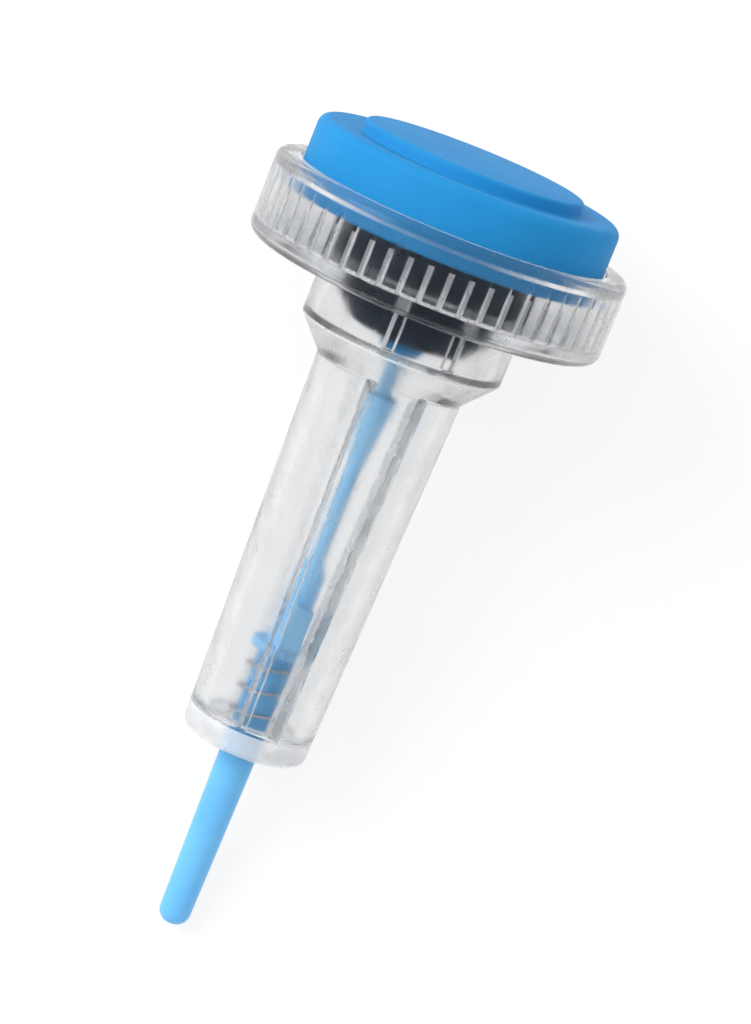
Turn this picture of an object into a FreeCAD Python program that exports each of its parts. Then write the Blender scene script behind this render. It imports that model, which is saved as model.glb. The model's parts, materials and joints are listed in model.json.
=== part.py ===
import FreeCAD, Part
import math
import os

# A single-use safety lancet: a clear barrel with a drum-shaped finger collar, a round push
# button in the collar's mouth, a spring mechanism inside and a twist-off cap over the needle.
#
# Each piece is drawn upright about Z, with the collar's top edge at height 0, the button
# above it and the needle pointing down. At the end the whole lancet is laid on its side,
# because it can't stand on its tip. Lengths are in millimetres, angles in degrees.

# Collar: the clear drum that two fingers grip
collar_radius = 9.5
collar_height = 4.5
collar_wall = 1.0
collar_floor = 0.8
lip_round = 0.45
foot_round = 0.6
mouth_land = 0.6
mouth_lip = 0.23

# Ribs that stiffen the collar's wall from inside and fade out towards its mouth
rib_count = 52
rib_root = 0.1
rib_reach = 0.22
rib_thickness = 0.3
rib_length = 2.5

# Neck and shoulder below the collar
neck_radius = 5.4
neck_length = 2.85
neck_wall = 0.8
shoulder_drop = 1.65
shoulder_lift = 0.35
neck_round = 0.2

# Tapered barrel and its nose
barrel_top_radius = 3.93
barrel_taper = 0.6
barrel_length = 20.8
barrel_wall = 0.88
nose_floor = 1.3
nose_round = 0.5
nose_clearance = 0.25
vent_radius = 0.2
vent_drop = 0.25
vent_azimuth = 235.0

# Rails that guide the needle carrier, in two pairs opposite each other
rail_azimuth = 13.0
rail_thickness = 0.4
rail_height = 0.75
rail_offset_top = 1.3
rail_offset_nose = 0.8
neck_rail_thickness = 0.5
neck_rail_height = 0.45
neck_rail_offset = 1.55

# Push button
button_rise = 2.4
button_top_wall = 1.2
button_skirt_wall = 0.95
button_travel = 2.0
button_end_gap = 0.2
mouth_clearance = 0.12
rim_round = 0.35
pad_inset = 2.25
pad_height = 0.55
pad_round = 0.22
pad_groove_width = 0.4
pad_groove_depth = 0.12

# Hollow stem of the button, with a barbed and split end
stem_radius = 1.0
stem_bore_radius = 0.56
barb_reach = 0.25
barb_length = 0.8
split_width = 0.4
split_length = 2.2

# Black spring cup in the mouth of the neck
cup_flange_overlap = 0.7
cup_flange_height = 2.4
cup_flange_round = 0.3
cup_plug_length = 1.8
cup_dome_drop = 1.3
cup_dome_round = 1.2
cup_floor_drop = 1.3
cup_play = 0.05
cup_plug_wall = 0.5
cup_dome_inset = 1.1
hub_clearance = 0.1
groove_count = 3
groove_pitch = 0.5
groove_depth = 0.2
groove_height = 0.25
flute_count = 24
flute_radius = 0.22

# Springs
drive_wire_radius = 0.22
drive_turns = 5
return_spring_radius = 1.35
return_wire_radius = 0.09
return_turns = 3
spring_seat_gap = 0.01
wire_flats = 8
spring_play = 0.18

# Needle carrier
strike_travel = 3.3
shaft_radius = 0.42
shaft_engagement = 0.4
hub_radius = 0.8
hub_length = 4.5
foot_radius = 1.55
foot_thickness = 0.5
foot_play = 0.15
wing_play = 0.25
wing_run_in = 0.3
upper_wing_height = 1.3
upper_wing_half_thickness = 0.8
lower_wing_height = 2.6
lower_wing_half_thickness = 0.4
carrier_stem_gap = 0.2
bond_line = 0.01

# Needle
needle_radius = 0.3
needle_recess = 1.5
needle_hold = 3.7
bevel_length = 1.2

# Twist-off cap
cap_rear_radius = 1.0
cap_tip_radius = 0.83
cap_tip_share = 0.9
cap_length_outside = 10.5
cap_bore_clearance = 0.15
cap_bore_end = 0.9
cap_break_gap = 0.1
cap_rear_round = 0.15

# Heights along the axis
collar_foot = -collar_height
cup_seat = collar_foot + collar_floor
neck_foot = collar_foot - neck_length
barrel_top = neck_foot - shoulder_drop
nose_plane = barrel_top - barrel_length
bore_floor = nose_plane + nose_floor
bore_top = barrel_top + shoulder_lift
carrier_foot = bore_floor + strike_travel + return_wire_radius * 2 * (return_turns + 1)
cup_base = cup_seat - cup_plug_length - cup_dome_drop
stem_end = cup_base - hub_clearance - barb_length
carrier_top = stem_end - button_travel - carrier_stem_gap
button_underside = button_rise - button_top_wall
cup_pocket_floor = cup_seat - cup_floor_drop
cap_rear = carrier_foot - cap_break_gap
needle_tip = nose_plane + needle_recess
cap_end = nose_plane - cap_length_outside

# Radii that follow from the neighbours
collar_bore = collar_radius - collar_wall
mouth_radius = collar_bore - mouth_lip
button_radius = mouth_radius - mouth_clearance
pad_radius = button_radius - pad_inset
neck_bore = neck_radius - neck_wall
barrel_nose_radius = barrel_top_radius - barrel_taper
bore_top_radius = barrel_top_radius - barrel_wall
bore_nose_radius = barrel_nose_radius - barrel_wall
nose_hole_radius = cap_rear_radius + nose_clearance
cup_flange_radius = neck_bore + cup_flange_overlap
cup_plug_radius = neck_bore - neck_rail_height - cup_play
cup_pocket_radius = cup_plug_radius - cup_plug_wall
cup_hole_radius = stem_radius + hub_clearance
drive_spring_radius = cup_pocket_radius - spring_play - drive_wire_radius

AXIS = FreeCAD.Vector(0, 0, 1)
ORIGIN = FreeCAD.Vector(0, 0, 0)
ACROSS = FreeCAD.Vector(0, 1, 0)


def bore_radius(height):
    """Radius of the barrel's tapered bore at a height."""
    share = (bore_top - height) / (bore_top - bore_floor)
    return bore_top_radius + share * (bore_nose_radius - bore_top_radius)


def rounded_outline(corners):
    """Closed wire in the XZ plane through corners of (radius, height, rounding)."""
    points = [FreeCAD.Vector(radius, 0, height) for radius, height, _ in corners]
    edges = []
    leaves = []
    entries = []
    for index, here in enumerate(points):
        rounding = corners[index][2]
        if rounding == 0:
            entries.append(here)
            leaves.append(here)
            continue
        back = (points[index - 1] - here).normalize()
        ahead = (points[(index + 1) % len(points)] - here).normalize()
        half_angle = back.getAngle(ahead) / 2
        reach = rounding / math.tan(half_angle)
        inset = rounding / math.sin(half_angle) - rounding
        entries.append(here + back * reach)
        leaves.append(here + ahead * reach)
        middle = here + (back + ahead).normalize() * inset
        edges.append(Part.Arc(entries[-1], middle, leaves[-1]).toShape())
    for index, start in enumerate(leaves):
        end = entries[(index + 1) % len(points)]
        edges.append(Part.makeLine(start, end))
    return Part.Wire(Part.__sortEdges__(edges))


def turned(corners):
    """Solid turned about the axis from corners of (radius, height, rounding)."""
    solid = Part.Face(rounded_outline(corners)).revolve(ORIGIN, AXIS, 360)
    return solid


def rod(radius, low, high):
    """Round bar on the axis between two heights."""
    return Part.makeCylinder(radius, high - low, FreeCAD.Vector(0, 0, low))


def plate(outline, half_thickness):
    """Flat plate in the XZ plane from (x, height) points, centred on the axis."""
    points = [FreeCAD.Vector(x, -half_thickness, height) for x, height in outline]
    face = Part.Face(Part.makePolygon(points + points[:1]))
    return face.extrude(FreeCAD.Vector(0, 2 * half_thickness, 0))


def around(shape, count):
    """Copies of a shape, evenly spaced about the axis."""
    copies = []
    for index in range(count):
        copy = shape.copy()
        copy.rotate(ORIGIN, AXIS, index * 360.0 / count)
        copies.append(copy)
    return copies


def collar_ribs():
    """Upright ribs on the collar's wall, deepest at its floor and fading out towards the mouth."""
    foot = cup_seat - collar_floor / 2
    outline = [
        (collar_bore + rib_root, foot),
        (collar_bore - rib_reach, foot),
        (collar_bore - rib_reach, cup_seat),
        (collar_bore + rib_root, cup_seat + rib_length),
    ]
    return around(plate(outline, rib_thickness / 2), rib_count)


def rail(offset_top, offset_low, thickness, crest_top, crest_low, wall_radius, top, low):
    """One rail: a bar that leans with the wall, from its crest outwards into the wall."""
    sections = []
    for offset, crest, height in ((offset_top, crest_top, top), (offset_low, crest_low, low)):
        corners = [
            FreeCAD.Vector(crest, offset - thickness / 2, height),
            FreeCAD.Vector(wall_radius, offset - thickness / 2, height),
            FreeCAD.Vector(wall_radius, offset + thickness / 2, height),
            FreeCAD.Vector(crest, offset + thickness / 2, height),
        ]
        sections.append(Part.makePolygon(corners + corners[:1]))
    return Part.makeLoft(sections, True, True)


def rail_pairs(bar):
    """The four copies of a rail: one pair in front and one at the back."""
    twin = bar.mirror(ORIGIN, ACROSS)
    rails = around(bar, 2) + around(twin, 2)
    for each in rails:
        each.rotate(ORIGIN, AXIS, rail_azimuth)
    return rails


def barrel_rails():
    """Rails that run down the tapered bore to its floor, trimmed to the barrel's wall."""
    bar = rail(
        rail_offset_top,
        rail_offset_nose,
        rail_thickness,
        bore_top_radius - rail_height,
        foot_radius + foot_play,
        barrel_top_radius,
        bore_top,
        bore_floor - nose_floor / 2,
    )
    return rail_pairs(bar)


def neck_rails():
    """Short rails in the neck, which centre the spring cup's plug."""
    crest = neck_bore - neck_rail_height
    offset = neck_rail_offset
    top = collar_foot + collar_floor / 2
    low = neck_foot + shoulder_lift
    bar = rail(offset, offset, neck_rail_thickness, crest, crest, neck_radius, top, low)
    return rail_pairs(bar)


def barrel():
    """Clear body: collar, neck, shoulder and tapered barrel moulded as one."""
    outside = turned([
        (0, 0, 0),
        (collar_radius, 0, lip_round),
        (collar_radius, collar_foot, foot_round),
        (neck_radius, collar_foot, neck_round),
        (neck_radius, neck_foot, neck_round),
        (barrel_top_radius, barrel_top, neck_round),
        (barrel_nose_radius, nose_plane, nose_round),
        (0, nose_plane, 0),
    ])
    land_foot = -mouth_land
    inside = turned([
        (0, collar_height, 0),
        (mouth_radius, collar_height, 0),
        (mouth_radius, land_foot, 0),
        (collar_bore, land_foot - mouth_lip, 0),
        (collar_bore, cup_seat, 0),
        (neck_bore, cup_seat, 0),
        (neck_bore, neck_foot + shoulder_lift, 0),
        (bore_top_radius, bore_top, 0),
        (bore_nose_radius, bore_floor, nose_round / 2),
        (0, bore_floor, 0),
    ])
    ribs = collar_ribs()
    rails = [bar.common(outside) for bar in barrel_rails() + neck_rails()]
    hole = rod(nose_hole_radius, nose_plane - nose_floor, bore_floor + nose_floor)
    vent = Part.makeCylinder(vent_radius, barrel_top_radius, ORIGIN, FreeCAD.Vector(1, 0, 0))
    vent.translate(FreeCAD.Vector(bore_top_radius - barrel_wall / 2, 0, barrel_top - vent_drop))
    vent.rotate(ORIGIN, AXIS, vent_azimuth)
    body = outside.cut(inside).fuse(ribs + rails)
    return body.cut([hole, vent]).removeSplitter()


def push_button():
    """Round button: dished top with a raised thumb pad, skirt and hollow barbed stem."""
    skirt_foot = cup_seat + button_end_gap + button_travel
    groove_radius = pad_radius + pad_groove_width
    groove_floor = button_rise - pad_groove_depth
    skirt_bore = button_radius - button_skirt_wall
    cap = turned([
        (0, button_rise + pad_height, 0),
        (pad_radius, button_rise + pad_height, pad_round),
        (pad_radius, groove_floor, 0),
        (groove_radius, groove_floor, pad_groove_depth),
        (button_radius - rim_round, button_rise, 0),
        (button_radius, button_rise, rim_round / 2),
        (button_radius, skirt_foot, rim_round / 2),
        (skirt_bore, skirt_foot, rim_round / 2),
        (skirt_bore, button_underside, rim_round),
        (0, button_underside, 0),
    ])
    barb_top = stem_end + barb_length
    barb_radius = stem_radius + barb_reach
    stem = turned([
        (0, button_underside + button_top_wall / 2, 0),
        (stem_radius, button_underside + button_top_wall / 2, 0),
        (stem_radius, barb_top, 0),
        (barb_radius, barb_top - barb_reach, 0),
        (stem_radius - barb_reach / 2, stem_end, 0),
        (0, stem_end, 0),
    ])
    bore_end = carrier_rear() + button_travel + carrier_stem_gap
    bore = rod(stem_bore_radius, stem_end - barb_length, bore_end)
    split = Part.makeBox(2 * barb_radius, split_width, split_length + barb_length)
    split.translate(FreeCAD.Vector(-barb_radius, -split_width / 2, stem_end - barb_length))
    split.rotate(ORIGIN, AXIS, rail_azimuth)
    return cap.fuse(stem).cut([bore, split]).removeSplitter()


def spring_cup():
    """Black cup that rests on the collar's floor, plugs the neck and seats the drive spring."""
    plug_foot = cup_seat - cup_plug_length
    solid = turned([
        (0, cup_seat + cup_flange_height, 0),
        (cup_flange_radius, cup_seat + cup_flange_height, cup_flange_round),
        (cup_flange_radius, cup_seat, 0),
        (cup_plug_radius, cup_seat, 0),
        (cup_plug_radius, plug_foot, cup_dome_round / 2),
        (cup_plug_radius - cup_dome_inset, cup_base, cup_dome_round),
        (0, cup_base, 0),
    ])
    pocket = rod(cup_pocket_radius, cup_pocket_floor, cup_seat + 2 * cup_flange_height)
    hole = rod(cup_hole_radius, cup_base - cup_dome_drop, cup_seat)
    grooves = []
    for index in range(groove_count):
        foot = cup_seat - (index + 1) * groove_pitch
        ring = rod(cup_plug_radius + groove_depth, foot, foot + groove_height)
        grooves.append(ring.cut(rod(cup_plug_radius - groove_depth, foot, foot + groove_height)))
    flute = Part.makeCylinder(
        flute_radius,
        cup_flange_height,
        FreeCAD.Vector(cup_flange_radius, 0, cup_seat + cup_flange_round),
    )
    return solid.cut([pocket, hole] + grooves + around(flute, flute_count)).removeSplitter()


def coil(radius, wire_radius, turns, low, high):
    """Wire wound about the axis between two seats, as half turns that tilt in turn."""
    start = low + spring_seat_gap + wire_radius
    half_rise = (high - spring_seat_gap - wire_radius - start) / (2 * turns)
    halves = []
    for index in range(2 * turns):
        side = 1 if index % 2 == 0 else -1
        foot = FreeCAD.Vector(side * radius, 0, start + index * half_rise)
        middle = FreeCAD.Vector(0, 0, foot.z + half_rise / 2)
        spoke = foot - middle
        flats = [
            foot + FreeCAD.Vector(math.cos(turn), 0, math.sin(turn)) * wire_radius
            for turn in (math.pi * (2 * flat + 1) / wire_flats for flat in range(wire_flats))
        ]
        section = Part.Face(Part.makePolygon(flats + flats[:1]))
        halves.append(section.revolve(middle, spoke.cross(ACROSS) * side, 180))
    return halves[0].fuse(halves[1:]).removeSplitter()


def carrier_rear():
    """Height of the shaft's rear end, which stays inside the stem when the needle strikes."""
    return stem_end + shaft_engagement + strike_travel


def wings(top, height, half_thickness):
    """Flat guide wings that run in the channels between the rails, with sloped lower ends."""
    low = top - height
    reach_top = bore_radius(top - strike_travel) - wing_play
    reach_low = bore_radius(low - strike_travel) - wing_play
    outline = [
        (-reach_top, top),
        (reach_top, top),
        (reach_low, low + wing_run_in),
        (reach_low - wing_run_in, low),
        (wing_run_in - reach_low, low),
        (-reach_low, low + wing_run_in),
    ]
    blade = plate(outline, half_thickness)
    blade.rotate(ORIGIN, AXIS, rail_azimuth)
    return blade


def needle_carrier():
    """Blue carrier: slender shaft, two sets of guide wings, hub and the return spring's foot."""
    hub_top = carrier_foot + hub_length
    body = turned([
        (0, carrier_rear(), 0),
        (shaft_radius, carrier_rear(), shaft_radius / 2),
        (shaft_radius, hub_top + hub_radius, 0),
        (hub_radius, hub_top, 0),
        (hub_radius, carrier_foot + foot_thickness, 0),
        (foot_radius, carrier_foot + foot_thickness, 0),
        (foot_radius, carrier_foot, 0),
        (0, carrier_foot, 0),
    ])
    upper = wings(carrier_top, upper_wing_height, upper_wing_half_thickness)
    lower_top = carrier_foot + foot_thickness + lower_wing_height
    lower = wings(lower_top, lower_wing_height, lower_wing_half_thickness)
    bore = rod(needle_radius + bond_line, carrier_foot - foot_thickness, carrier_foot + needle_hold)
    return body.fuse([upper, lower]).cut(bore).removeSplitter()


def needle():
    """Solid steel needle, held in the carrier's hub and ground to a bevel."""
    shank = rod(needle_radius, needle_tip, carrier_foot + needle_hold)
    grind = plate(
        [
            (-needle_radius, needle_tip),
            (needle_radius, needle_tip + bevel_length),
            (2 * needle_radius, needle_tip + bevel_length),
            (2 * needle_radius, needle_tip - needle_radius),
            (-needle_radius, needle_tip - needle_radius),
        ],
        2 * needle_radius,
    )
    grind.rotate(ORIGIN, AXIS, rail_azimuth)
    return shank.cut(grind)


def twist_off_cap():
    """Blue pin over the needle, with a round tip, broken off the carrier by a twist."""
    pin = turned([
        (0, cap_rear, 0),
        (cap_rear_radius, cap_rear, cap_rear_round),
        (cap_rear_radius, nose_plane, 0),
        (cap_tip_radius, cap_end, cap_tip_radius * cap_tip_share),
        (0, cap_end, 0),
    ])
    bore_end = needle_tip - cap_bore_end
    return pin.cut(rod(needle_radius + cap_bore_clearance, bore_end, cap_rear + cap_bore_end))


def touch_tilt(foot, end):
    """Tilt of the axis at which two roundings, (height, radius, rounding), share one floor."""
    along = foot[0] - end[0]
    out = foot[1] - end[1]
    lift = math.asin((foot[2] - end[2]) / math.hypot(along, out))
    return math.degrees(math.atan2(out, along) + lift)


# Roundings that can meet the floor, as (height, radius, rounding) of each arc's centre
foot_arc = (collar_foot + foot_round, collar_radius - foot_round, foot_round)
nose_arc = (nose_plane + nose_round, barrel_nose_radius - nose_round, nose_round)
tip_round = cap_tip_radius * cap_tip_share
tip_arc = (cap_end + tip_round, cap_tip_radius - tip_round, tip_round)
pad_top = button_rise + pad_height
pad_arc = (pad_top - pad_round, pad_radius - pad_round, pad_round)
rim_arc = (button_rise - rim_round / 2, button_radius - rim_round / 2, rim_round / 2)

# The lancet tips over its collar until its nose or the cap's tip meets the floor
tilt = min(touch_tilt(foot_arc, nose_arc), touch_tilt(foot_arc, tip_arc))
sine = math.sin(math.radians(tilt))
cosine = math.cos(math.radians(tilt))
axis_height = foot_arc[1] * cosine + foot_arc[2] - foot_arc[0] * sine
front = max(arc[0] * cosine + arc[1] * sine + arc[2] for arc in (pad_arc, rim_arc))
back = tip_arc[0] * cosine - tip_arc[1] * sine - tip_arc[2]
resting_place = FreeCAD.Vector(-(front + back) / 2, 0, axis_height)


def laid_down(shape):
    """The shape as it lies: button towards +X, centred over the middle of its shadow."""
    placed = shape.copy()
    placed.rotate(ORIGIN, ACROSS, 90 - tilt)
    placed.translate(resting_place)
    return placed


pieces = {
    "barrel": barrel(),
    "push_button": push_button(),
    "spring_cup": spring_cup(),
    "drive_spring": coil(
        drive_spring_radius,
        drive_wire_radius,
        drive_turns,
        cup_pocket_floor,
        button_underside,
    ),
    "return_spring": coil(
        return_spring_radius,
        return_wire_radius,
        return_turns,
        bore_floor,
        carrier_foot,
    ),
    "needle_carrier": needle_carrier(),
    "needle": needle(),
    "twist_off_cap": twist_off_cap(),
}

os.makedirs("parts", exist_ok=True)
for name, piece in pieces.items():
    laid_down(piece).exportStep("parts/" + name + ".step")
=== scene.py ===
"""Studio scene of a single-use safety lancet that lies on a pale floor, seen from above."""

import json
import logging
import math
from collections.abc import Callable
from dataclasses import dataclass, field
from enum import Enum

import bmesh
import bpy
from mathutils import Matrix, Vector


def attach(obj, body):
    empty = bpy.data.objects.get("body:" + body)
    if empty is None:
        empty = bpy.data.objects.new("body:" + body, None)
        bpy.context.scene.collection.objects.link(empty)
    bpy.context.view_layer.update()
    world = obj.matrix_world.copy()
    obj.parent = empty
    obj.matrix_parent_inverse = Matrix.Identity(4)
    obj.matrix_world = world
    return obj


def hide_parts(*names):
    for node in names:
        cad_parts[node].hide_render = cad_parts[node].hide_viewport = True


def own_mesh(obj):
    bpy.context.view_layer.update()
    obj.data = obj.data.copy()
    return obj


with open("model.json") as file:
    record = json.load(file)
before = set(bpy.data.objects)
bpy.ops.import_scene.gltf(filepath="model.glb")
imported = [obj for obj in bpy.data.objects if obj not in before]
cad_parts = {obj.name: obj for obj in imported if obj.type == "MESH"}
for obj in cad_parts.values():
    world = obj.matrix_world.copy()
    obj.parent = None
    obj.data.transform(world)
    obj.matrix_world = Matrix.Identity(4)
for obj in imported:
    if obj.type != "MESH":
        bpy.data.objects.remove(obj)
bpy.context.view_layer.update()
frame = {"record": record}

logging.basicConfig(level=logging.INFO, format="%(message)s")
LOG = logging.getLogger("lancet")

MM = 0.001
FULL_TURN = 2 * math.pi
PHOTO_WIDTH = 751
PHOTO_HEIGHT = 1024
CREASE = 32.0
FINE_SEGMENTS = 256
ROD_SEGMENTS = 96

Colour = tuple[float, float, float]
Loop = list[tuple[float, float]]
Ridge = Callable[[float, float, float], float]


class Body(Enum):
    """Moving bodies of the lancet."""

    CASE = "body"
    BUTTON = "button"
    CARRIER = "carrier"
    CAP = "cap"


class Joint(Enum):
    """Joints that squeeze a spring."""

    PRESS = "button_press"
    STRIKE = "needle_strike"


@dataclass(frozen=True)
class Place:
    """The lancet's own axis as it lies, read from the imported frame.

    Heights run along the axis in millimetres, from the collar's top edge towards the button.
    """

    origin: Vector
    axis: Vector

    @classmethod
    def from_frame(cls, pad_height: float) -> "Place":
        """Find the axis from the thumb pad's mount.

        Args:
            pad_height: height of the thumb pad above the collar's top edge, in millimetres.

        Returns:
            The place of the collar's top edge, with the axis towards the button.
        """
        mounts = {mount["name"]: mount for mount in frame["record"]["mounts"]}
        pad = mounts["thumb_pad"]
        axis = Vector(pad["axis"]).normalized()
        return cls(Vector(pad["pos_m"]) - axis * pad_height * MM, axis)

    @property
    def skyward(self) -> Vector:
        """Direction square to the axis that points away from the floor."""
        return Vector((-self.axis.z, 0.0, self.axis.x))

    def matrix(self) -> Matrix:
        """Matrix from the lancet's own frame, in millimetres, to the world in metres."""
        down = -self.skyward
        side = self.axis.cross(down)
        turn = Matrix((down, side, self.axis)).transposed().to_4x4()
        return Matrix.Translation(self.origin) @ turn @ Matrix.Scale(MM, 4)

    def point(self, height: float) -> Vector:
        """World point on the axis at a height."""
        return self.origin + self.axis * height * MM


def rounded(corners: list[tuple[float, float, float]], steps: int = 6) -> Loop:
    """Outline through corners whose sharp points are replaced by arcs.

    Args:
        corners: (radius, height, rounding) of each corner, in order round a closed outline.
        steps: spans along each arc.

    Returns:
        Points (radius, height) of the closed outline.
    """
    points: Loop = []
    for index, (radius, height, rounding) in enumerate(corners):
        here = Vector((radius, height))
        if rounding == 0:
            points.append((radius, height))
            continue
        before = corners[index - 1]
        after = corners[(index + 1) % len(corners)]
        back = (Vector(before[:2]) - here).normalized()
        ahead = (Vector(after[:2]) - here).normalized()
        half = back.angle(ahead) / 2
        centre = here + (back + ahead).normalized() * rounding / math.sin(half)
        first = here + back * rounding / math.tan(half) - centre
        last = here + ahead * rounding / math.tan(half) - centre
        sweep = first.angle_signed(last)
        for step in range(steps + 1):
            turn = Matrix.Rotation(-sweep * step / steps, 2)
            spoke = turn @ first
            points.append((centre.x + spoke.x, centre.y + spoke.y))
    return points


def refined(loop: Loop, longest: float) -> Loop:
    """Outline with its long straight runs divided.

    Args:
        loop: points of a closed outline.
        longest: longest run that may stay, in millimetres.

    Returns:
        The same outline with more points.
    """
    points: Loop = []
    for index, here in enumerate(loop):
        ahead = loop[(index + 1) % len(loop)]
        run = math.dist(here, ahead)
        parts = max(1, math.ceil(run / longest))
        for part in range(parts):
            share = part / parts
            points.append(
                (here[0] + (ahead[0] - here[0]) * share, here[1] + (ahead[1] - here[1]) * share)
            )
    return points


def make_object(name: str, verts: list[Vector], faces: list[tuple[int, ...]], place: Place,
                crease: float = CREASE) -> bpy.types.Object:
    """Turn points in the lancet's own frame into a smooth-shaded object in the world.

    Args:
        name: the piece's name.
        verts: points in millimetres.
        faces: vertex numbers of each face.
        place: where the lancet lies.
        crease: angle in degrees above which an edge stays sharp.

    Returns:
        The new object, linked to the scene.
    """
    mesh = bpy.data.meshes.new(name)
    to_world = place.matrix()
    mesh.from_pydata([to_world @ vert for vert in verts], [], faces)
    mesh.validate()
    shape = bmesh.new()
    shape.from_mesh(mesh)
    bmesh.ops.recalc_face_normals(shape, faces=shape.faces)
    shape.to_mesh(mesh)
    shape.free()
    mesh.polygons.foreach_set("use_smooth", [True] * len(mesh.polygons))
    mesh.set_sharp_from_angle(angle=math.radians(crease))
    thing = bpy.data.objects.new(name, mesh)
    bpy.context.scene.collection.objects.link(thing)
    return thing


def flat_ridge(_radius: float, _height: float, _turn: float) -> float:
    """A plain turned surface: nothing stands off it."""
    return 0.0


def lathe(name: str, loop: Loop, place: Place, segments: int = 192,
          ridge: Ridge = flat_ridge, crease: float = CREASE) -> bpy.types.Object:
    """Turn a closed outline about the axis.

    Args:
        name: the piece's name.
        loop: outline points (radius, height); points at radius 0 become poles.
        place: where the lancet lies.
        segments: divisions around the axis.
        ridge: change of radius at (radius, height, angle), for ribs and flutes.
        crease: angle in degrees above which an edge stays sharp.

    Returns:
        The turned object.
    """
    verts: list[Vector] = []
    rings: list[list[int]] = []
    for radius, height in loop:
        if radius < 1e-6:
            rings.append([len(verts)])
            verts.append(Vector((0.0, 0.0, height)))
            continue
        rings.append(list(range(len(verts), len(verts) + segments)))
        for index in range(segments):
            turn = FULL_TURN * index / segments
            reach = radius + ridge(radius, height, turn)
            verts.append(Vector((reach * math.cos(turn), reach * math.sin(turn), height)))
    faces: list[tuple[int, ...]] = []
    for index, ring in enumerate(rings):
        after = rings[(index + 1) % len(rings)]
        if len(ring) == 1 and len(after) == 1:
            continue
        for step in range(segments):
            ahead = (step + 1) % segments
            if len(ring) == 1:
                faces.append((ring[0], after[ahead], after[step]))
            elif len(after) == 1:
                faces.append((ring[step], ring[ahead], after[0]))
            else:
                faces.append((ring[step], ring[ahead], after[ahead], after[step]))
    return make_object(name, verts, faces, place, crease)


def joined(name: str, things: list[bpy.types.Object]) -> bpy.types.Object:
    """Join several meshes into one piece.

    Args:
        name: the piece's name.
        things: objects to join; the first one stays.

    Returns:
        The joined object.
    """
    with bpy.context.temp_override(
        active_object=things[0], selected_editable_objects=things, selected_objects=things
    ):
        bpy.ops.object.join()
    things[0].name = name
    return things[0]


class Shader:
    """A node material in the making."""

    def __init__(self, name: str) -> None:
        """Start an empty material with one principled shader."""
        self.material = bpy.data.materials.new(name)
        self.material.use_nodes = True
        self.tree = self.material.node_tree
        self.surface = self.tree.nodes["Principled BSDF"]

    def node(self, kind: str, **values: object) -> bpy.types.Node:
        """Add a node.

        Args:
            kind: the node's type name.
            values: sockets to set by name, with spaces written as underscores.

        Returns:
            The new node.
        """
        made = self.tree.nodes.new(kind)
        for key, value in values.items():
            made.inputs[key.replace("_", " ")].default_value = value
        return made

    def link(self, source: bpy.types.NodeSocket, target: bpy.types.NodeSocket) -> None:
        """Join two sockets."""
        self.tree.links.new(source, target)

    def place_vector(self, stretch: tuple[float, float, float]) -> bpy.types.NodeSocket:
        """Object position in millimetres, scaled along each axis.

        Args:
            stretch: how fast the pattern runs along each axis, per millimetre.

        Returns:
            The socket that holds the vector.
        """
        where = self.node("ShaderNodeTexCoord")
        mapping = self.node("ShaderNodeMapping")
        mapping.inputs["Scale"].default_value = [value / MM for value in stretch]
        self.link(where.outputs["Object"], mapping.inputs["Vector"])
        return mapping.outputs["Vector"]

    def noise(
        self, stretch: tuple[float, float, float], detail: float = 4.0
    ) -> bpy.types.NodeSocket:
        """A noise pattern.

        Args:
            stretch: patterns per millimetre along each axis.
            detail: octaves of the noise.

        Returns:
            The noise's value socket.
        """
        made = self.node("ShaderNodeTexNoise", Scale=1.0, Detail=detail)
        self.link(self.place_vector(stretch), made.inputs["Vector"])
        return made.outputs["Fac"]

    def remap(self, value: bpy.types.NodeSocket, low: float, high: float) -> bpy.types.NodeSocket:
        """Spread a value of about 0.3 to 0.7 between two limits.

        Args:
            value: the socket to spread.
            low: result at the low end.
            high: result at the high end.

        Returns:
            The result's socket.
        """
        made = self.node("ShaderNodeMapRange", From_Min=0.3, From_Max=0.7, To_Min=low, To_Max=high)
        self.link(value, made.inputs["Value"])
        return made.outputs["Result"]

    def bump(self, height: bpy.types.NodeSocket, depth: float, strength: float) -> None:
        """Raise the surface by a pattern.

        Args:
            height: the pattern's socket.
            depth: full height of the relief in millimetres.
            strength: share of the relief that shows.
        """
        made = self.node("ShaderNodeBump", Strength=strength, Distance=depth * MM)
        self.link(height, made.inputs["Height"])
        self.link(made.outputs["Normal"], self.surface.inputs["Normal"])


@dataclass(frozen=True)
class OpaquePlastic:
    """Moulded coloured plastic with a fine satin texture and faint tone changes."""

    name: str
    colour: Colour
    shade: Colour
    roughness: float = 0.4
    grain: float = 6.0
    relief: float = 0.01
    glow: float = 0.0
    gloss: float = 0.25

    def build(self) -> bpy.types.Material:
        """Make the material."""
        shader = Shader(self.name)
        tone = shader.noise((0.25, 0.25, 0.25), 2.0)
        mix = shader.node("ShaderNodeMix")
        mix.data_type = "RGBA"
        mix.inputs["A"].default_value = (*self.colour, 1.0)
        mix.inputs["B"].default_value = (*self.shade, 1.0)
        shader.link(shader.remap(tone, 0.0, 1.0), mix.inputs["Factor"])
        shader.link(mix.outputs["Result"], shader.surface.inputs["Base Color"])
        grain = shader.noise((self.grain, self.grain, self.grain))
        low = self.roughness - 0.06
        high = self.roughness + 0.06
        shader.link(shader.remap(grain, low, high), shader.surface.inputs["Roughness"])
        shader.bump(grain, self.relief, 0.35)
        shader.surface.inputs["Specular IOR Level"].default_value = self.gloss
        if self.glow > 0:
            shader.surface.inputs["Subsurface Weight"].default_value = self.glow
            shader.surface.inputs["Subsurface Radius"].default_value = (0.4, 0.8, 1.0)
            shader.surface.inputs["Subsurface Scale"].default_value = 0.5 * MM
        return shader.material


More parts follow.
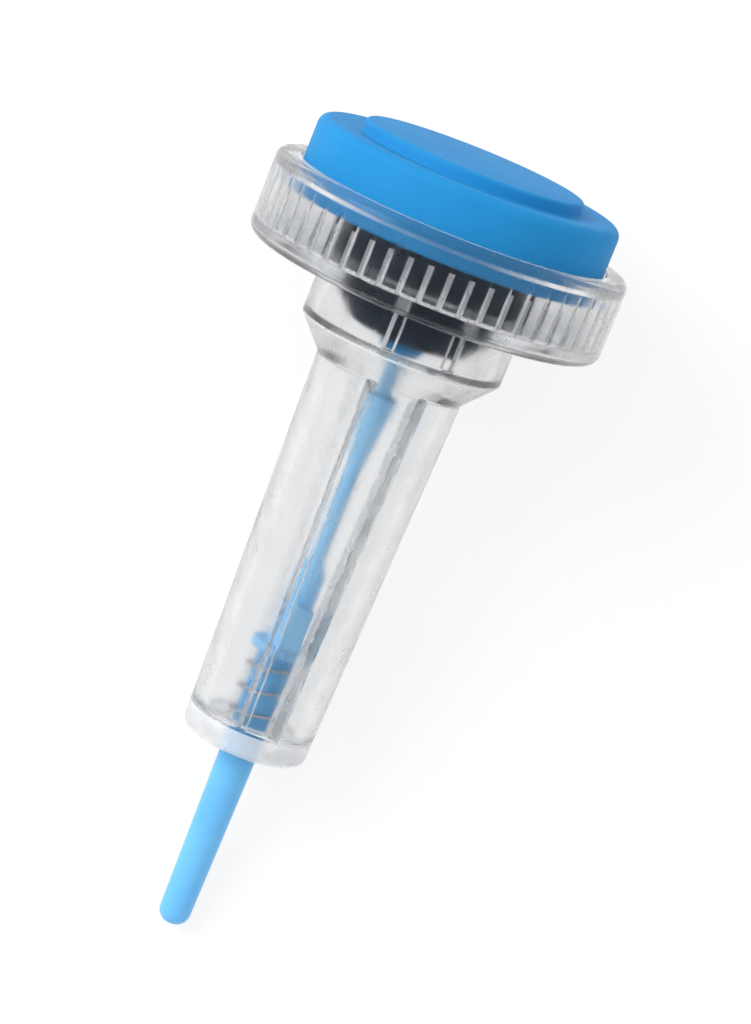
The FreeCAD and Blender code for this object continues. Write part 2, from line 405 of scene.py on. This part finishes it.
@dataclass(frozen=True)
class ClearPlastic:
    """Clear moulded plastic, faintly hazy, with flow marks along its length."""

    name: str
    tint: Colour
    haze: float
    clarity: float
    gloss: Colour = (0.22, 0.27, 0.36)
    index: float = 1.49
    flow: float = 0.02

    def build(self) -> bpy.types.Material:
        """Make the material."""
        shader = Shader(self.name)
        surface = shader.surface
        surface.inputs["Base Color"].default_value = (*self.tint, 1.0)
        surface.inputs["Transmission Weight"].default_value = self.clarity
        surface.inputs["IOR"].default_value = self.index
        surface.inputs["Specular Tint"].default_value = (*self.gloss, 1.0)
        cloud = shader.noise((0.5, 0.9, 0.9), 5.0)
        shader.link(
            shader.remap(cloud, self.haze * 0.5, self.haze * 1.5), surface.inputs["Roughness"]
        )
        streaks = shader.noise((0.12, 0.9, 0.9), 3.0)
        shader.bump(streaks, self.flow, 0.6)
        return shader.material


@dataclass(frozen=True)
class Steel:
    """Drawn or ground steel."""

    name: str
    colour: Colour
    roughness: float = 0.25

    def build(self) -> bpy.types.Material:
        """Make the material."""
        shader = Shader(self.name)
        shader.surface.inputs["Base Color"].default_value = (*self.colour, 1.0)
        shader.surface.inputs["Metallic"].default_value = 1.0
        drawn = shader.noise((1.5, 12.0, 12.0))
        low = self.roughness - 0.08
        high = self.roughness + 0.08
        shader.link(shader.remap(drawn, low, high), shader.surface.inputs["Roughness"])
        shader.bump(drawn, 0.004, 0.3)
        return shader.material


BUTTON_BLUE = OpaquePlastic(
    "button_blue", (0.018, 0.235, 0.53), (0.015, 0.215, 0.50), 0.55, gloss=0.06
)
CARRIER_BLUE = OpaquePlastic("carrier_blue", (0.33, 0.65, 0.95), (0.28, 0.60, 0.92), 0.45)
CAP_BLUE = OpaquePlastic("cap_blue", (0.15, 0.47, 0.80), (0.12, 0.42, 0.75), 0.34, glow=0.25)
CUP_BLACK = OpaquePlastic(
    "cup_black", (0.002, 0.006, 0.013), (0.003, 0.008, 0.016), 0.5, gloss=0.03
)
CLEAR = ClearPlastic("clear_plastic", (0.93, 0.935, 0.94), haze=0.2, clarity=0.995)
# Milky white for the case's crests and corners. Part of it is frosted plastic. Part is painted
# highlight standing in for the bright lines of internal reflection. At the neck's foot and the
# nose it is painted light over the dark internal-reflection bands.
FROST_AND_PAINTED_HIGHLIGHT = ClearPlastic("frost_and_painted_highlight", (0.99, 0.99, 0.99), haze=0.3, clarity=0.6)
SPRING_STEEL = Steel("spring_steel", (0.42, 0.42, 0.44), 0.32)
NEEDLE_STEEL = Steel("needle_steel", (0.65, 0.66, 0.68), 0.2)


def finish_piece(thing: bpy.types.Object, body: Body, node: str,
                 material: bpy.types.Material) -> bpy.types.Object:
    """Dress a piece and hand it to the frame.

    Args:
        thing: the piece.
        body: the body that it rides on.
        node: the solid that it stands for.
        material: its finish.

    Returns:
        The same piece.
    """
    thing.data.materials.clear()
    thing.data.materials.append(material)
    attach(thing, body.value)
    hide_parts(node)
    LOG.info("%s: %d faces", thing.name, len(thing.data.polygons))
    return thing


@dataclass
class ClearCase:
    """The clear moulding: collar, neck, shoulder and tapered barrel. Sizes in millimetres."""

    collar_radius: float = 9.5
    collar_foot: float = -4.5
    collar_bore: float = 8.5
    mouth_radius: float = 8.27
    mouth_land: float = 0.6
    floor_top: float = -3.7
    lip_round: float = 0.45
    foot_round: float = 0.6
    neck_radius: float = 5.4
    neck_bore: float = 4.6
    neck_foot: float = -7.35
    shoulder_lift: float = 0.35
    barrel_top: float = -9.0
    barrel_top_radius: float = 3.93
    nose_plane: float = -29.8
    nose_radius: float = 3.33
    nose_round: float = 0.5
    nose_hole: float = 1.25
    corner_round: float = 0.25
    inner_round: float = 0.2
    fine_round: float = 0.1
    bore_floor: float = -28.5
    wall: float = 0.88
    rib_count: int = 52
    rib_reach: float = 0.22
    rib_length: float = 2.5
    rib_half_angle: float = 1.25
    segments: int = 728
    longest_run: float = 0.9
    crease: float = 28.0
    rail_azimuth: float = 13.0
    rail_height: float = 0.75
    rail_thickness: float = 0.4
    rail_edge: float = 0.06
    rail_offset_top: float = 1.3
    rail_offset_nose: float = 0.8
    neck_rail_height: float = 0.45
    neck_rail_thickness: float = 0.5
    neck_rail_offset: float = 1.55

    def outline(self) -> Loop:
        """Closed outline of the moulding's wall."""
        slope = self.collar_bore - self.mouth_radius
        bore_top = self.barrel_top + self.shoulder_lift
        return rounded([
            (self.collar_radius, 0.0, self.lip_round),
            (self.collar_radius, self.collar_foot, self.foot_round),
            (self.neck_radius, self.collar_foot, self.corner_round),
            (self.neck_radius, self.neck_foot, self.inner_round),
            (self.barrel_top_radius, self.barrel_top, self.corner_round),
            (self.nose_radius, self.nose_plane, self.nose_round),
            (self.nose_hole, self.nose_plane, self.fine_round),
            (self.nose_hole, self.bore_floor, self.fine_round),
            (self.nose_radius - self.wall, self.bore_floor, self.corner_round),
            (self.barrel_top_radius - self.wall, bore_top, self.inner_round),
            (self.neck_bore, self.neck_foot + self.shoulder_lift, self.inner_round),
            (self.neck_bore, self.floor_top, 0.15),
            (self.collar_bore, self.floor_top, 0.3),
            (self.collar_bore, -self.mouth_land - slope, self.fine_round),
            (self.mouth_radius, -self.mouth_land, self.fine_round),
            (self.mouth_radius, 0.0, 0.12),
        ])

    def rib(self, height: float, turn: float) -> float:
        """How far the collar's ribs stand off the wall.

        Args:
            height: height along the axis.
            turn: angle about the axis.

        Returns:
            Depth of the rib in millimetres, 0 between ribs.
        """
        rise = (self.floor_top + self.rib_length - height) / self.rib_length
        if not 0.0 < rise <= 1.2:
            return 0.0
        pitch = FULL_TURN / self.rib_count
        off = abs((turn + pitch / 2) % pitch - pitch / 2) / math.radians(self.rib_half_angle)
        if off >= 1.0:
            return 0.0
        return self.rib_reach * min(rise, 1.0) * (0.5 + 0.5 * math.cos(math.pi * off))

    def rail(self, radius: float, turn: float, offset: float, thickness: float) -> float:
        """Share of a rail's height at an angle.

        Args:
            radius: radius of the wall that carries the rails.
            turn: angle about the axis.
            offset: distance of the rail from the plane between the pair.
            thickness: the rail's thickness.

        Returns:
            1 on the rail's crest, 0 off it, with narrow slopes between.
        """
        half_turn = (turn - math.radians(self.rail_azimuth)) % math.pi
        if half_turn > math.pi / 2:
            half_turn = math.pi - half_turn
        centre = math.asin(offset / radius)
        away = abs(half_turn - centre) * radius
        edge = self.rail_edge
        return min(max((thickness / 2 + edge - away) / (2 * edge), 0.0), 1.0)

    def ridge(self, radius: float, height: float, turn: float) -> float:
        """Change of the wall's radius for ribs and rails.

        Args:
            radius: plain radius of the wall.
            height: height along the axis.
            turn: angle about the axis.

        Returns:
            A negative length on the inside where something stands off the wall.
        """
        if radius > self.mouth_radius - 0.1 and radius < self.collar_bore + 0.05:
            if self.floor_top - 0.01 < height < -self.mouth_land:
                return -self.rib(height, turn)
            return 0.0
        ledge = self.neck_foot + self.shoulder_lift
        if abs(radius - self.neck_bore) < 0.16 and ledge - 0.01 < height < self.floor_top - 0.2:
            share = self.rail(radius, turn, self.neck_rail_offset, self.neck_rail_thickness)
            fade = min(1.0, (self.floor_top - 0.2 - height) / 0.3)
            return -self.neck_rail_height * share * fade
        bore_top = self.barrel_top + self.shoulder_lift
        top_radius = self.barrel_top_radius - self.wall
        low_radius = self.nose_radius - self.wall
        along = (bore_top - height) / (bore_top - self.bore_floor)
        bore = top_radius + (low_radius - top_radius) * along
        if -0.01 < along < 1.01 and abs(radius - bore) < 0.3:
            offset = self.rail_offset_top + along * (self.rail_offset_nose - self.rail_offset_top)
            fade = min(1.0, max(0.0, along) * 40)
            return -self.rail_height * fade * self.rail(radius, turn, offset, self.rail_thickness)
        return 0.0

    def is_crest(self, spot: Vector) -> bool:
        """Tell the crests and corners that take milky white, partly frosted plastic and partly
        painted highlight, from the plain clear wall.

        Args:
            spot: a point on the moulding in its own frame.

        Returns:
            True on rib and rail crests and along the lip, the floor's corner, the neck's foot
            and the nose.
        """
        radius = math.hypot(spot.x, spot.y)
        height = spot.z
        rib_zone = self.floor_top + 0.05 < height < self.floor_top + self.rib_length
        if rib_zone and self.collar_bore - 0.3 < radius < self.collar_bore - 0.02:
            return True
        corner_zone = abs(height - self.floor_top) < 0.12
        if corner_zone and self.collar_bore - 0.45 < radius < self.collar_bore:
            return True
        if height > -0.1 and radius < self.mouth_radius + 0.14:
            return True
        if height < self.bore_floor - 0.3 and radius > self.nose_radius - 0.8:
            return True
        if abs(height - self.neck_foot) < 0.25 and radius > self.neck_bore + 0.3:
            return True
        ledge = self.neck_foot + self.shoulder_lift
        if ledge < height < self.floor_top - 0.3:
            return 0.08 < self.neck_bore - radius < self.neck_rail_height - 0.05
        bore_top = self.barrel_top + self.shoulder_lift
        along = (bore_top - height) / (bore_top - self.bore_floor)
        bore = self.barrel_top_radius - self.wall
        bore += (self.nose_radius - self.barrel_top_radius) * along
        return 0.0 < along < 1.0 and 0.15 < bore - radius < self.rail_height - 0.08

    def build(self, place: Place) -> bpy.types.Object:
        """Make the moulding.

        Args:
            place: where the lancet lies.

        Returns:
            The clear case.
        """
        loop = refined(self.outline(), self.longest_run)
        case = lathe("clear_case", loop, place, self.segments, self.ridge, self.crease)
        finish_piece(case, Body.CASE, "barrel", CLEAR.build())
        # Second finish for the crests and corners: milky white, partly frost and partly painted
        # highlight.
        case.data.materials.append(FROST_AND_PAINTED_HIGHLIGHT.build())
        back = place.matrix().inverted()
        for polygon in case.data.polygons:
            if self.is_crest(back @ polygon.center):
                polygon.material_index = 1
        return case


@dataclass
class PushButton:
    """Blue button with a raised thumb pad, a skirt and a hollow barbed stem."""

    radius: float = 8.15
    rise: float = 2.4
    pad_radius: float = 5.9
    pad_top: float = 2.95
    skirt_foot: float = -1.5
    skirt_bore: float = 7.2
    underside: float = 1.2
    groove_depth: float = 0.12
    groove_width: float = 0.4
    pad_round: float = 0.22
    rim_round: float = 0.55
    edge_round: float = 0.15
    root_round: float = 0.3
    stem_round: float = 0.05
    bore_drop: float = 1.0
    stem_radius: float = 1.0
    stem_bore: float = 0.56
    stem_end: float = -7.7
    barb_top: float = -6.9
    barb_reach: float = 0.25

    def build(self, place: Place) -> bpy.types.Object:
        """Make the button and its stem as one piece.

        Args:
            place: where the lancet lies.

        Returns:
            The button.
        """
        crown = self.rise - self.groove_depth
        head = lathe("button_head", rounded([
            (0.0, self.pad_top, 0.0),
            (self.pad_radius, self.pad_top, self.pad_round),
            (self.pad_radius + 0.04, crown, 0.08),
            (self.pad_radius + self.groove_width, crown, 0.12),
            (self.radius, self.rise, self.rim_round),
            (self.radius, self.skirt_foot, self.edge_round),
            (self.skirt_bore, self.skirt_foot, self.edge_round),
            (self.skirt_bore, self.underside, self.root_round),
            (self.stem_radius, self.underside, self.root_round),
            (self.stem_radius, self.barb_top, self.stem_round),
            (
                self.stem_radius + self.barb_reach,
                self.barb_top - self.barb_reach,
                self.stem_round,
            ),
            (self.stem_radius - self.barb_reach / 2, self.stem_end, 0.08),
            (self.stem_bore, self.stem_end, self.stem_round),
            (self.stem_bore, self.underside - self.bore_drop, 0.1),
            (0.0, self.underside - self.bore_drop, 0.0),
        ]), place, FINE_SEGMENTS)
        return finish_piece(
            head, Body.BUTTON, "push_button", BUTTON_BLUE.build()
        )


@dataclass
class SpringCup:
    """Black cup that plugs the neck and seats the drive spring."""

    flange_radius: float = 5.3
    flange_top: float = -1.3
    seat: float = -3.7
    plug_radius: float = 4.1
    plug_foot: float = -5.5
    base_radius: float = 3.0
    base: float = -6.8
    pocket_radius: float = 3.6
    pocket_floor: float = -5.0
    hole_radius: float = 1.1
    groove_count: int = 3
    groove_pitch: float = 0.5
    groove_depth: float = 0.2
    groove_height: float = 0.25

    def build(self, place: Place) -> bpy.types.Object:
        """Make the cup.

        Args:
            place: where the lancet lies.

        Returns:
            The cup.
        """
        corners = [
            (self.pocket_radius, self.flange_top, 0.1),
            (self.flange_radius, self.flange_top, 0.2),
            (self.flange_radius, self.seat, 0.03),
            (self.plug_radius, self.seat, 0.03),
        ]
        for index in range(self.groove_count):
            foot = self.seat - (index + 1) * self.groove_pitch
            for reach, height in (
                (0.0, foot + self.groove_height),
                (self.groove_depth, foot + self.groove_height),
                (self.groove_depth, foot),
                (0.0, foot),
            ):
                corners.append((self.plug_radius - reach, height, 0.02))
        corners += [
            (self.plug_radius, self.plug_foot, 0.6),
            (self.base_radius, self.base, 1.2),
            (self.hole_radius, self.base, 0.05),
            (self.hole_radius, self.pocket_floor, 0.05),
            (self.pocket_radius, self.pocket_floor, 0.1),
        ]
        cup = lathe("spring_cup_piece", rounded(corners, 8), place, FINE_SEGMENTS)
        return finish_piece(cup, Body.CASE, "spring_cup", CUP_BLACK.build())


@dataclass
class Coil:
    """A compression spring of round wire, built at one length; the joint that squeezes it in the
    lancet is only recorded.
    """

    name: str
    node: str
    joint: Joint
    radius: float
    wire: float
    turns: int
    low: float
    high: float
    travel: float
    around_wire: int = 14
    per_turn: int = 56

    def build(self, place: Place) -> bpy.types.Object:
        """Make the spring as one even helix with flat ends.

        Args:
            place: where the lancet lies.

        Returns:
            The spring.
        """
        around_wire = self.around_wire
        steps = self.turns * self.per_turn
        start = self.low + self.wire
        rise = self.high - self.wire - start
        verts: list[Vector] = []
        for step in range(steps + 1):
            share = step / steps
            turn = FULL_TURN * self.turns * share
            height = start + rise * share
            outward = Vector((math.cos(turn), math.sin(turn), 0.0))
            for index in range(around_wire):
                angle = FULL_TURN * index / around_wire
                spoke = outward * math.cos(angle) + Vector((0.0, 0.0, math.sin(angle)))
                verts.append(outward * self.radius + Vector((0, 0, height)) + spoke * self.wire)
        faces: list[tuple[int, ...]] = [tuple(reversed(range(around_wire)))]
        for step in range(steps):
            first = step * around_wire
            for index in range(around_wire):
                ahead = (index + 1) % around_wire
                faces.append((
                    first + index,
                    first + ahead,
                    first + around_wire + ahead,
                    first + around_wire + index,
                ))
        faces.append(tuple(range(steps * around_wire, (steps + 1) * around_wire)))
        coil = make_object(self.name, verts, faces, place)
        finish_piece(coil, Body.CASE, self.node, SPRING_STEEL.build())
        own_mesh(coil)
        return coil


@dataclass
class NeedleCarrier:
    """Blue carrier with its guide wings, and the steel needle in its hub."""

    shaft_radius: float = 0.42
    shaft_top: float = -4.0
    stop_radius: float = 0.9
    stop_top: float = -9.9
    stop_length: float = 4.0
    hub_radius: float = 0.8
    hub_top: float = -19.98
    foot_radius: float = 1.55
    foot: float = -24.48
    foot_thickness: float = 0.5
    wing_azimuth: float = 13.0
    wing_top: float = -21.38
    wing_height: float = 2.6
    wing_reach_top: float = 2.33
    wing_reach_low: float = 2.25
    wing_half_thickness: float = 0.4
    wing_run_in: float = 0.3
    needle_radius: float = 0.3
    needle_tip: float = -28.3
    bevel_length: float = 1.2
    needle_seat: float = 0.8
    needle_clearance: float = 0.01
    wing_edge: float = 0.06

    def blades(self, place: Place) -> bpy.types.Object:
        """The flat guide wings, with softened edges.

        Args:
            place: where the lancet lies.

        Returns:
            The pair of wings as one plate.
        """
        low = self.wing_top - self.wing_height
        outline = [
            (-self.wing_reach_top, self.wing_top),
            (self.wing_reach_top, self.wing_top),
            (self.wing_reach_low, low + self.wing_run_in),
            (self.wing_reach_low - self.wing_run_in, low),
            (self.wing_run_in - self.wing_reach_low, low),
            (-self.wing_reach_low, low + self.wing_run_in),
        ]
        turn = Matrix.Rotation(math.radians(self.wing_azimuth), 3, "Z")
        verts = [
            turn @ Vector((x, side * self.wing_half_thickness, z))
            for side in (-1, 1)
            for x, z in outline
        ]
        count = len(outline)
        faces: list[tuple[int, ...]] = [
            tuple(range(count)),
            tuple(reversed(range(count, 2 * count))),
        ]
        for index in range(count):
            ahead = (index + 1) % count
            faces.append((ahead, index, index + count, ahead + count))
        plate = make_object("guide_wings", verts, faces, place)
        softened = plate.modifiers.new("edges", "BEVEL")
        softened.width = self.wing_edge * MM
        softened.segments = 2
        return plate

    def build(self, place: Place) -> list[bpy.types.Object]:
        """Make the carrier and the needle.

        Args:
            place: where the lancet lies.

        Returns:
            The carrier and the needle.
        """
        needle_hole = self.needle_radius + self.needle_clearance
        rod = lathe("carrier_rod", rounded([
            (0.0, self.shaft_top, 0.0),
            (self.shaft_radius, self.shaft_top, 0.2),
            (self.shaft_radius, self.stop_top, 0.05),
            (self.stop_radius, self.stop_top, 0.15),
            (self.shaft_radius, self.stop_top - self.stop_length, 2.0),
            (self.shaft_radius, self.hub_top + self.hub_radius, 0.3),
            (self.hub_radius, self.hub_top, 0.3),
            (self.hub_radius, self.foot + self.foot_thickness, 0.1),
            (self.foot_radius, self.foot + self.foot_thickness, 0.08),
            (self.foot_radius, self.foot, 0.08),
            (needle_hole, self.foot, 0.03),
            (needle_hole, self.hub_top, 0.0),
            (0.0, self.hub_top, 0.0),
        ]), place, ROD_SEGMENTS)
        blades = self.blades(place)
        with bpy.context.temp_override(object=blades, active_object=blades):
            bpy.ops.object.modifier_apply(modifier="edges")
        carrier = joined("carrier_piece", [rod, blades])
        finish_piece(
            carrier, Body.CARRIER, "needle_carrier", CARRIER_BLUE.build()
        )
        return [carrier, self.needle(place)]

    def needle(self, place: Place) -> bpy.types.Object:
        """The needle, with its point ground to a bevel.

        Args:
            place: where the lancet lies.

        Returns:
            The needle.
        """
        rear = self.hub_top - self.needle_seat
        needle = lathe("needle_piece", [
            (0.0, rear),
            (self.needle_radius, rear),
            (self.needle_radius, self.needle_tip + self.bevel_length),
            (self.needle_radius, self.needle_tip),
            (0.0, self.needle_tip),
        ], place, 48)
        back = place.matrix().inverted()
        out = place.matrix()
        spin = Matrix.Rotation(-math.radians(self.wing_azimuth), 3, "Z")
        for vert in needle.data.vertices:
            here = back @ vert.co
            if here.z < self.needle_tip + 1e-4:
                across = (spin @ here).x / self.needle_radius
                here.z = self.needle_tip + self.bevel_length * (across + 1) / 2
                vert.co = out @ here
        return finish_piece(
            needle, Body.CARRIER, "needle", NEEDLE_STEEL.build()
        )


@dataclass
class TwistOffCap:
    """Slim blue cap over the needle, with a round tip."""

    rear: float = -24.58
    rear_radius: float = 1.0
    nose_plane: float = -29.8
    tip_radius: float = 0.83
    end: float = -40.3
    bore_radius: float = 0.45
    bore_end: float = -29.2
    tip_share: float = 0.9
    longest_run: float = 1.0
    tip_steps: int = 12

    def build(self, place: Place) -> bpy.types.Object:
        """Make the cap.

        Args:
            place: where the lancet lies.

        Returns:
            The cap.
        """
        cap = lathe("cap_piece", refined(rounded([
            (self.bore_radius, self.rear, 0.05),
            (self.rear_radius, self.rear, 0.15),
            (self.rear_radius, self.nose_plane, 0.0),
            (self.tip_radius, self.end, self.tip_radius * self.tip_share),
            (0.0, self.end, 0.0),
            (0.0, self.bore_end, 0.0),
            (self.bore_radius, self.bore_end, 0.1),
        ], self.tip_steps), self.longest_run), place, ROD_SEGMENTS)
        return finish_piece(cap, Body.CAP, "twist_off_cap", CAP_BLUE.build())


@dataclass
class Studio:
    """Floor, lights and camera."""

    floor_half: float = 0.6
    distance: float = 197.0
    elevation: float = 11.4
    roll: float = 22.0
    focal_px: float = 3900.0
    mark_x: float = 455.0
    mark_y: float = 213.5
    floor_glow: float = 0.82
    key_place: tuple[float, float, float] = (0.10, 0.30, 0.28)
    key_size: float = 0.25
    key_power: float = 1.5
    fill_place: tuple[float, float, float] = (0.05, -0.30, 0.22)
    fill_size: float = 0.3
    fill_power: float = 0.08
    sky_colour: tuple[float, float, float, float] = (0.97, 0.98, 1.0, 1.0)
    sky_strength: float = 0.85

    def floor(self) -> None:
        """Lay a white floor that shows as paper white and still takes a faint shadow."""
        mesh = bpy.data.meshes.new("floor")
        half = self.floor_half
        corners = [(-half, -half, 0.0), (half, -half, 0.0), (half, half, 0.0), (-half, half, 0.0)]
        mesh.from_pydata(corners, [], [(0, 1, 2, 3)])
        floor = bpy.data.objects.new("floor", mesh)
        bpy.context.scene.collection.objects.link(floor)
        shader = Shader("floor_white")
        shader.surface.inputs["Base Color"].default_value = (0.9, 0.9, 0.9, 1.0)
        shader.surface.inputs["Roughness"].default_value = 0.9
        glow = shader.node("ShaderNodeEmission", Color=(1.0, 1.0, 1.0, 1.0), Strength=1.0)
        rays = shader.node("ShaderNodeLightPath")
        seen = shader.node("ShaderNodeMath")
        seen.operation = "MAXIMUM"
        shader.link(rays.outputs["Is Camera Ray"], seen.inputs[0])
        shader.link(rays.outputs["Is Transmission Ray"], seen.inputs[1])
        either = shader.node("ShaderNodeMath")
        either.operation = "MAXIMUM"
        shader.link(seen.outputs[0], either.inputs[0])
        shader.link(rays.outputs["Is Glossy Ray"], either.inputs[1])
        share = shader.node("ShaderNodeMath")
        share.operation = "MULTIPLY"
        share.inputs[1].default_value = self.floor_glow
        shader.link(either.outputs[0], share.inputs[0])
        blend = shader.node("ShaderNodeMixShader")
        shader.link(share.outputs[0], blend.inputs[0])
        shader.link(shader.surface.outputs[0], blend.inputs[1])
        shader.link(glow.outputs[0], blend.inputs[2])
        output = shader.tree.nodes["Material Output"]
        shader.link(blend.outputs[0], output.inputs["Surface"])
        mesh.materials.append(shader.material)

    def lamp(self, name: str, where: Vector, target: Vector, size: float, power: float) -> None:
        """Add a soft rectangular lamp.

        Args:
            name: the lamp's name.
            where: its place.
            target: the point that it faces.
            size: its side in metres.
            power: its power in watts.
        """
        data = bpy.data.lights.new(name, "AREA")
        data.size = size
        data.energy = power
        lamp = bpy.data.objects.new(name, data)
        lamp.location = where
        lamp.rotation_euler = (target - where).to_track_quat("-Z", "Y").to_euler()
        bpy.context.scene.collection.objects.link(lamp)

    def lights(self, place: Place) -> None:
        """Set a soft key from the photograph's left, a weaker fill and an even sky.

        Args:
            place: where the lancet lies.
        """
        target = place.point(-15.0)
        key = target + Vector(self.key_place)
        fill = target + Vector(self.fill_place)
        self.lamp("key", key, target, self.key_size, self.key_power)
        self.lamp("fill", fill, target, self.fill_size, self.fill_power)
        world = bpy.data.worlds.new("studio")
        bpy.context.scene.world = world
        world.use_nodes = True
        background = world.node_tree.nodes["Background"]
        background.inputs["Color"].default_value = self.sky_colour
        background.inputs["Strength"].default_value = self.sky_strength

    def camera(self, place: Place) -> None:
        """Set the camera so that the collar's top edge and the axis fall as in the photograph.

        Args:
            place: where the lancet lies.
        """
        rise = math.radians(self.elevation)
        roll = math.radians(self.roll)
        axis_seen = Vector((
            math.sin(roll) * math.cos(rise), -math.cos(roll) * math.cos(rise), -math.sin(rise)
        ))
        towards_eye = Vector((0.0, 0.0, -1.0))
        sky_seen = (towards_eye - axis_seen * towards_eye.dot(axis_seen)).normalized()
        seen = Matrix((axis_seen, sky_seen, axis_seen.cross(sky_seen))).transposed()
        sky = place.skyward
        real = Matrix((place.axis, sky, place.axis.cross(sky))).transposed()
        to_world = real @ seen.inverted()
        mark = Vector((
            (self.mark_x - PHOTO_WIDTH / 2) / self.focal_px,
            (self.mark_y - PHOTO_HEIGHT / 2) / self.focal_px,
            1.0,
        )) * self.distance * MM
        data = bpy.data.cameras.new("camera")
        data.sensor_width = 36.0
        data.lens = self.focal_px * data.sensor_width / PHOTO_HEIGHT
        data.clip_start = 0.01
        data.clip_end = 10.0
        camera = bpy.data.objects.new("camera", data)
        flip = Matrix(((1, 0, 0), (0, -1, 0), (0, 0, -1)))
        camera.matrix_world = (
            Matrix.Translation(place.origin - to_world @ mark) @ (to_world @ flip).to_4x4()
        )
        bpy.context.scene.collection.objects.link(camera)
        bpy.context.scene.camera = camera
        bpy.context.scene.view_settings.view_transform = "Standard"


@dataclass
class Lancet:
    """The whole lancet, built piece by piece."""

    case: ClearCase = field(default_factory=ClearCase)
    button: PushButton = field(default_factory=PushButton)
    cup: SpringCup = field(default_factory=SpringCup)
    carrier: NeedleCarrier = field(default_factory=NeedleCarrier)
    cap: TwistOffCap = field(default_factory=TwistOffCap)
    press_travel: float = 2.0
    strike_travel: float = 3.3
    drive_radius: float = 3.2
    drive_wire: float = 0.22
    drive_turns: int = 5
    return_radius: float = 1.35
    return_wire: float = 0.09
    return_turns: int = 3

    def springs(self) -> list[Coil]:
        """The drive spring under the button and the return spring in front of the carrier."""
        drive = Coil(
            "drive_coil", "drive_spring", Joint.PRESS,
            self.drive_radius, self.drive_wire, self.drive_turns,
            self.cup.pocket_floor, self.button.underside, self.press_travel,
        )
        back = Coil(
            "return_coil", "return_spring", Joint.STRIKE,
            self.return_radius, self.return_wire, self.return_turns,
            self.case.bore_floor, self.carrier.foot, self.strike_travel,
        )
        return [drive, back]

    def build(self, place: Place) -> None:
        """Make every piece.

        Args:
            place: where the lancet lies.
        """
        self.case.build(place)
        self.button.build(place)
        self.cup.build(place)
        for spring in self.springs():
            spring.build(place)
        self.carrier.build(place)
        self.cap.build(place)


def main() -> None:
    """Build the lancet and the studio."""
    lancet = Lancet()
    place = Place.from_frame(lancet.button.pad_top)
    lancet.build(place)
    studio = Studio()
    studio.floor()
    studio.lights(place)
    studio.camera(place)


if __name__ == "__main__":
    main()
